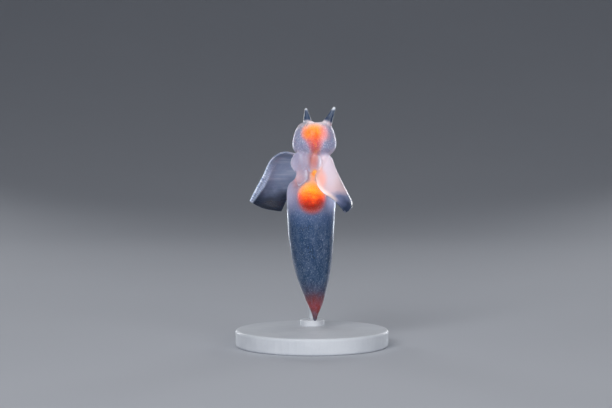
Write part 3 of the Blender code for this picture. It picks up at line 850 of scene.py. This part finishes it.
def organMaterial(name, v, cover=None):
    made = Nodes(name)
    patches = made.noise(650.0)
    height = made.stir(made.bodyHeight(), patches, 0.06)
    upper = made.span(height, bodyShare(25.0), bodyShare(27.0))
    blotches = made.span(made.noise(900.0, detail=2.0, shift=(3, 1, 2)), 0.52, 0.68)
    pebbles = made.noise(3000.0, detail=2.0, shift=(5, 2, 3))
    lit = made.times(made.span(pebbles, 0.5, 0.66, 0.0, 0.45), upper)
    colour = made.ramp(height, bodyHeights(v["colours"]))
    colour = made.mix(made.times(blotches, upper, 0.4), colour, organPebbles["bright"])
    colour = made.mix(lit, colour, organPebbles["bright"])
    colour = made.mix(made.span(pebbles, 0.46, 0.34, 0.0, 0.4), colour, organPebbles["dark"])
    if "side" in v:
        start, full, tint = v["side"]
        colour = made.mix(made.span(made.axis("X"), start * mm, full * mm), colour, tint)
    made.link(colour, made.shader.inputs["Base Color"])
    # painted glow: the organ gives off its own colour, though it is no lamp
    made.link(colour, made.shader.inputs["Emission Color"])
    made.bump(patches, 0.4, 0.1 * mm)
    if cover:
        grain = made.noise(1200.0, detail=2.0, shift=(1, 4, 2))
        made.link(made.span(grain, 0.35, 0.65, *cover), made.shader.inputs["Alpha"])
    return made.finish({"Roughness": 0.45, "Emission Strength": v["glow"]})


def makeOrgan(name, v):
    organ = turnedBody(name, v["rings"])
    if "grain" in v:
        roughen(organ, *v["grain"])
    organ.data.materials.append(organMaterial(v["finish"], v))
    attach(organ, "root")
    return organ


def softOutside(organ, v):  # a thin clouded layer around an organ
    pick(organ)
    bpy.ops.object.duplicate()
    layer = bpy.context.object
    nameBoth(layer, organ.name + "Cloud")
    editAll(layer)
    bpy.ops.transform.shrink_fatten(value=v["cloudGap"] * mm)
    leaveEdit()
    layer.data.materials.clear()
    layer.data.materials.append(organMaterial(v["cloudFinish"], v, v["cloudCover"]))
    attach(layer, "root")


gutValues = {
    "rings": [
        (22.65, 0.2, 0.2, 0.0),
        (22.8, 0.9, 0.8, 0.0),
        (23.2, 1.5, 1.35, 0.0),
        (23.9, 2.05, 1.85, 0.0),
        (24.7, 2.5, 2.25, 0.0),
        (25.6, 2.75, 2.5, -0.03),
        (26.4, 2.75, 2.5, -0.05),
        (27.2, 2.5, 2.25, -0.1),
        (28.0, 1.95, 1.75, -0.15),
        (28.7, 1.15, 1.05, -0.18),
        (29.2, 0.55, 0.5, -0.2),
        (29.4, 0.1, 0.1, -0.2),
    ],
    "grain": (0.5, 700.0),  # depth in millimetres, fineness
    "finish": "gutOrange",
    "colours": [
        (22.7, srgb(140, 56, 36)),
        (23.4, srgb(142, 34, 26)),
        (24.5, srgb(126, 6, 18)),
        (25.4, srgb(206, 40, 12)),
        (26.3, srgb(246, 96, 6)),
        (27.3, srgb(255, 168, 14)),
        (29.4, srgb(255, 192, 40)),
    ],
    "glow": 0.6,
    "cloudGap": 0.3,
    "cloudFinish": "gutCloud",
    "cloudCover": (0.25, 0.7),
}
softOutside(makeOrgan("gut", gutValues), gutValues)

gulletValues = {
    "rings": [
        (28.9, 0.08, 0.08, -0.1),
        (29.2, 0.4, 0.4, -0.05),
        (31.0, 0.6, 0.55, 0.2),
        (33.0, 0.85, 0.75, 0.4),
        (34.6, 0.8, 0.7, 0.55),
        (35.6, 0.5, 0.45, 0.7),
        (35.8, 0.06, 0.06, 0.7),
    ],
    "finish": "gulletPink",
    "colours": [
        (29.0, srgb(252, 160, 70)),
        (30.6, srgb(248, 168, 90)),
        (32.0, srgb(240, 170, 140)),
        (34.0, srgb(236, 160, 146)),
        (35.4, srgb(200, 96, 88)),
    ],
    "glow": 0.3,
}
makeOrgan("gullet", gulletValues)

mouthPartsValues = {
    "rings": [
        (34.9, 0.06, 0.06, 0.85),
        (35.1, 0.5, 0.45, 0.84),
        (35.8, 0.95, 0.85, 0.78),
        (36.6, 1.25, 1.1, 0.66),
        (37.4, 1.6, 1.4, 0.57),
        (38.2, 2.2, 1.9, 0.52),
        (39.1, 2.6, 2.2, 0.46),
        (39.9, 2.6, 2.2, 0.44),
        (40.6, 2.2, 1.9, 0.52),
        (41.15, 1.5, 1.3, 0.58),
        (41.35, 0.3, 0.3, 0.6),
    ],
    "grain": (0.35, 900.0),
    "finish": "mouthOrange",
    "colours": [
        (35.3, srgb(146, 36, 34)),
        (36.4, srgb(184, 48, 40)),
        (37.6, srgb(226, 74, 46)),
        (38.8, srgb(248, 100, 14)),
        (39.8, srgb(254, 140, 8)),
        (40.9, srgb(254, 186, 36)),
    ],
    "side": (1.2, 3.2, srgb(252, 160, 140)),  # where the pink side starts and is full
    "glow": 0.5,
    "cloudGap": 0.28,
    "cloudFinish": "mouthCloud",
    "cloudCover": (0.15, 0.6),
}
softOutside(makeOrgan("mouthParts", mouthPartsValues), mouthPartsValues)

# The small orange drop in the front of the neck
fleckValues = {
    "size": (0.34 * mm, 0.2 * mm, 0.66 * mm),
    "lean": math.radians(-35),
    "place": (0.5 * mm, -2.78 * mm, tailZ + 31.25 * mm),
    "grain": (0.12, 2000.0),
    "colours": [(30.5, srgb(250, 130, 40)), (32.0, srgb(254, 176, 60))],
    "glow": 0.6,
}


def makeFleck(v):
    pickNone()
    bpy.ops.mesh.primitive_uv_sphere_add(segments=24, ring_count=16, radius=1.0, location=(0, 0, 0))
    fleck = bpy.context.object
    nameBoth(fleck, "neckFleck")
    editAll(fleck)
    bpy.ops.transform.resize(value=v["size"])
    bpy.ops.transform.rotate(value=v["lean"], orient_axis="Y", center_override=(0, 0, 0))
    bpy.ops.transform.translate(value=v["place"])
    leaveEdit()
    roughen(fleck, *v["grain"])
    bpy.ops.object.shade_smooth()
    settle(fleck)
    fleck.data.materials.append(organMaterial("fleckOrange", v))
    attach(fleck, "root")


makeFleck(fleckValues)
print("organs made")


# The dark eye specks, one in the end of each small feeler at the nape
eyeValues = {
    "feelers": ["nape_tentacle_left", "nape_tentacle_right"],
    "radius": 0.15 * mm,
    "flatness": 0.75,
    "sunk": 0.06 * mm,
    "lookUp": 0.7,
}


def eyeMaterial():
    made = Nodes("eyeSpeck")
    grain = made.noise(6000.0, detail=2.0)
    made.link(made.mix(grain, srgb(10, 10, 14), srgb(52, 40, 44)), made.shader.inputs["Base Color"])
    made.bump(grain, 0.2, 0.01 * mm)
    return made.finish({"Roughness": 0.25, "Coat Weight": 0.5, "Coat Roughness": 0.05})


def makeEye(feeler, material, v):
    low, high = (Vector(corner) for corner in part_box(feeler))
    out = Vector(((low.x + high.x) / 2, (low.y + high.y) / 2, 0.0))
    outward = (out.normalized() + Vector((0, 0, v["lookUp"]))).normalized()
    points = [vertex.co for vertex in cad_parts[feeler].data.vertices]
    tip = max(points, key=lambda point: point.dot(outward))
    pickNone()
    bpy.ops.mesh.primitive_uv_sphere_add(segments=20, ring_count=12, radius=v["radius"], location=(0, 0, 0))
    eye = bpy.context.object
    nameBoth(eye, feeler.replace("nape_tentacle", "eyeSpeck"))
    editAll(eye)
    bpy.ops.transform.resize(value=(1.0, 1.0, v["flatness"]))
    bpy.ops.transform.translate(value=tip - outward * v["sunk"])
    leaveEdit()
    bpy.ops.object.shade_smooth()
    settle(eye)
    eye.data.materials.append(material)
    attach(eye, "root")


eyeSpeck = eyeMaterial()
for feeler in eyeValues["feelers"]:
    makeEye(feeler, eyeSpeck, eyeValues)
print("eyes made")


# The display stand keeps its CAD shapes and gets clear acrylic
standValues = {
    # finish, colour, alpha, roughness, coat
    "stand_base": ("baseAcrylic", srgb(206, 211, 219), 1.0, 0.45, 0.0),
    "stand_rod": ("rodAcrylic", srgb(206, 214, 224), 0.62, 0.12, 0.4),
}


def standMaterial(name, colour, alpha, rough, coat):
    made = Nodes(name)
    grain = made.noise(2600.0)
    brushed = made.noise(160.0, detail=2.0)
    tone = made.mix(made.span(brushed, 0.35, 0.65, 0.0, 0.35), colour, srgb(228, 232, 238))
    tone = made.mix(made.times(grain, 0.15), tone, grey(1.0))
    made.link(tone, made.shader.inputs["Base Color"])
    made.link(made.span(grain, 0.3, 0.7, rough, rough + 0.12), made.shader.inputs["Roughness"])
    made.bump(grain, 0.1, 0.02 * mm)
    return made.finish({"Alpha": alpha, "Coat Weight": coat, "Coat Roughness": 0.1})


for nodeName, finish in standValues.items():
    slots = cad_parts[nodeName].data.materials
    slots.clear()
    slots.append(standMaterial(*finish))
print("stand finished")


# Studio: a pale sweep all round, soft lights and the photograph's view
animalMiddle = (0.0, 0.0, 0.03)
trunkLow = (0.0, 0.0, 0.014)
white = (1.0, 1.0, 1.0)
coolWhite = (0.86, 0.93, 1.0)
studioValues = {
    "floorRadius": 0.2,
    "wallRadius": 1.6,
    "wallHeight": 1.4,
    "sides": 96,
    "curveSteps": 24,  # from the floor up to the wall
    "paper": srgb(188, 192, 200),
    "paperLight": srgb(196, 199, 206),
    "airColour": (0.8, 0.83, 0.88, 1.0),
    "airStrength": 0.3,
    "lights": [
        # name, place, aim, size, power, spread in degrees, colour
        ("keyLight", (-0.22, -0.5, 0.3), animalMiddle, (0.3, 0.3), 0.52, 90, white),
        ("fillLight", (0.3, -0.45, 0.16), animalMiddle, (0.3, 0.3), 0.28, 90, white),
        ("topLight", (0.0, -0.08, 0.6), (0.0, -0.08, 0.0), (0.4, 0.4), 0.1, 100, white),
        ("rimLeft", (-0.24, 0.38, 0.1), animalMiddle, (0.14, 0.18), 0.1, 80, white),
        ("rimRight", (0.24, 0.38, 0.1), animalMiddle, (0.14, 0.18), 0.1, 80, white),
        ("lowRimLeft", (-0.1, 0.17, 0.016), trunkLow, (0.05, 0.03), 0.001, 20, coolWhite),
        ("lowRimRight", (0.1, 0.17, 0.016), trunkLow, (0.05, 0.03), 0.001, 20, coolWhite),
    ],
}


def makeSweep(v):
    pickNone()
    bpy.ops.mesh.primitive_circle_add(
        vertices=v["sides"], radius=v["floorRadius"], fill_type="NGON", location=(0, 0, 0)
    )
    sweep = bpy.context.object
    sweep.name = "studioSweep"
    editAll(sweep)
    bpy.ops.mesh.select_mode(type="EDGE")
    bpy.ops.mesh.region_to_loop()
    curve = v["wallRadius"] - v["floorRadius"]
    radius, height = v["floorRadius"], 0.0
    for step in range(1, v["curveSteps"] + 1):
        angle = step / v["curveSteps"] * math.pi / 2
        wider = v["floorRadius"] + curve * math.sin(angle)
        higher = curve * (1 - math.cos(angle))
        bpy.ops.mesh.extrude_edges_move(TRANSFORM_OT_translate={"value": (0, 0, higher - height)})
        bpy.ops.transform.resize(value=(wider / radius, wider / radius, 1.0), center_override=(0, 0, higher))
        radius, height = wider, higher
    bpy.ops.mesh.extrude_edges_move(TRANSFORM_OT_translate={"value": (0, 0, v["wallHeight"])})
    bpy.ops.mesh.select_all(action="SELECT")
    bpy.ops.mesh.normals_make_consistent(inside=True)
    leaveEdit()
    bpy.ops.object.shade_smooth()
    made = Nodes("sweepPaper")
    made.link(made.mix(made.noise(6.0), v["paper"], v["paperLight"]), made.shader.inputs["Base Color"])
    sweep.data.materials.append(made.finish({"Roughness": 0.9, "Specular IOR Level": 0.1}))


def addLight(name, place, aim, size, power, spread, colour):
    bpy.ops.object.light_add(type="AREA", location=place)
    light = bpy.context.object
    light.name = name
    light.visible_camera = False
    light.data.shape = "RECTANGLE"
    light.data.size, light.data.size_y = size
    light.data.energy = power
    light.data.color = colour
    light.data.spread = math.radians(spread)
    light.rotation_euler = (Vector(aim) - Vector(place)).to_track_quat("-Z", "Y").to_euler()


def addAir(v):
    world = bpy.data.worlds.new("studioAir")
    world.use_nodes = True
    background = world.node_tree.nodes["Background"]
    background.inputs["Color"].default_value = v["airColour"]
    background.inputs["Strength"].default_value = v["airStrength"]
    bpy.context.scene.world = world


cameraValues = {
    "lens": 100.0,
    "sensorWidth": 36.0,
    "nearest": 0.01,
    "frameWidth": 612,
    "frameHeight": 408,
    "angle": math.radians(3),  # looking down
    "animalPixels": 215.5,  # from feeler tips to tail tip in the photograph
    "animalLength": 45 * mm,
    "axisPixel": 312,  # the column where x is 0
    "tailPixel": 322,  # the row of the tail's tip
}


def addCamera(v):
    scale = v["animalLength"] / v["animalPixels"]
    distance = v["frameWidth"] * v["lens"] / v["sensorWidth"] * scale
    across = (v["frameWidth"] / 2 - v["axisPixel"]) * scale
    aim = Vector((across, 0.0, tailZ + (v["tailPixel"] - v["frameHeight"] / 2) * scale))
    place = aim + distance * Vector((0.0, -math.cos(v["angle"]), math.sin(v["angle"])))
    bpy.ops.object.camera_add(location=place)
    camera = bpy.context.object
    camera.name = "viewCamera"
    camera.data.lens = v["lens"]
    camera.data.sensor_width = v["sensorWidth"]
    camera.data.clip_start = v["nearest"]
    camera.rotation_euler = (aim - place).to_track_quat("-Z", "Y").to_euler()
    bpy.context.scene.camera = camera


makeSweep(studioValues)
for lightValues in studioValues["lights"]:
    addLight(*lightValues)
addAir(studioValues)
bpy.context.scene.view_settings.view_transform = "Standard"
addCamera(cameraValues)
print("studio set")
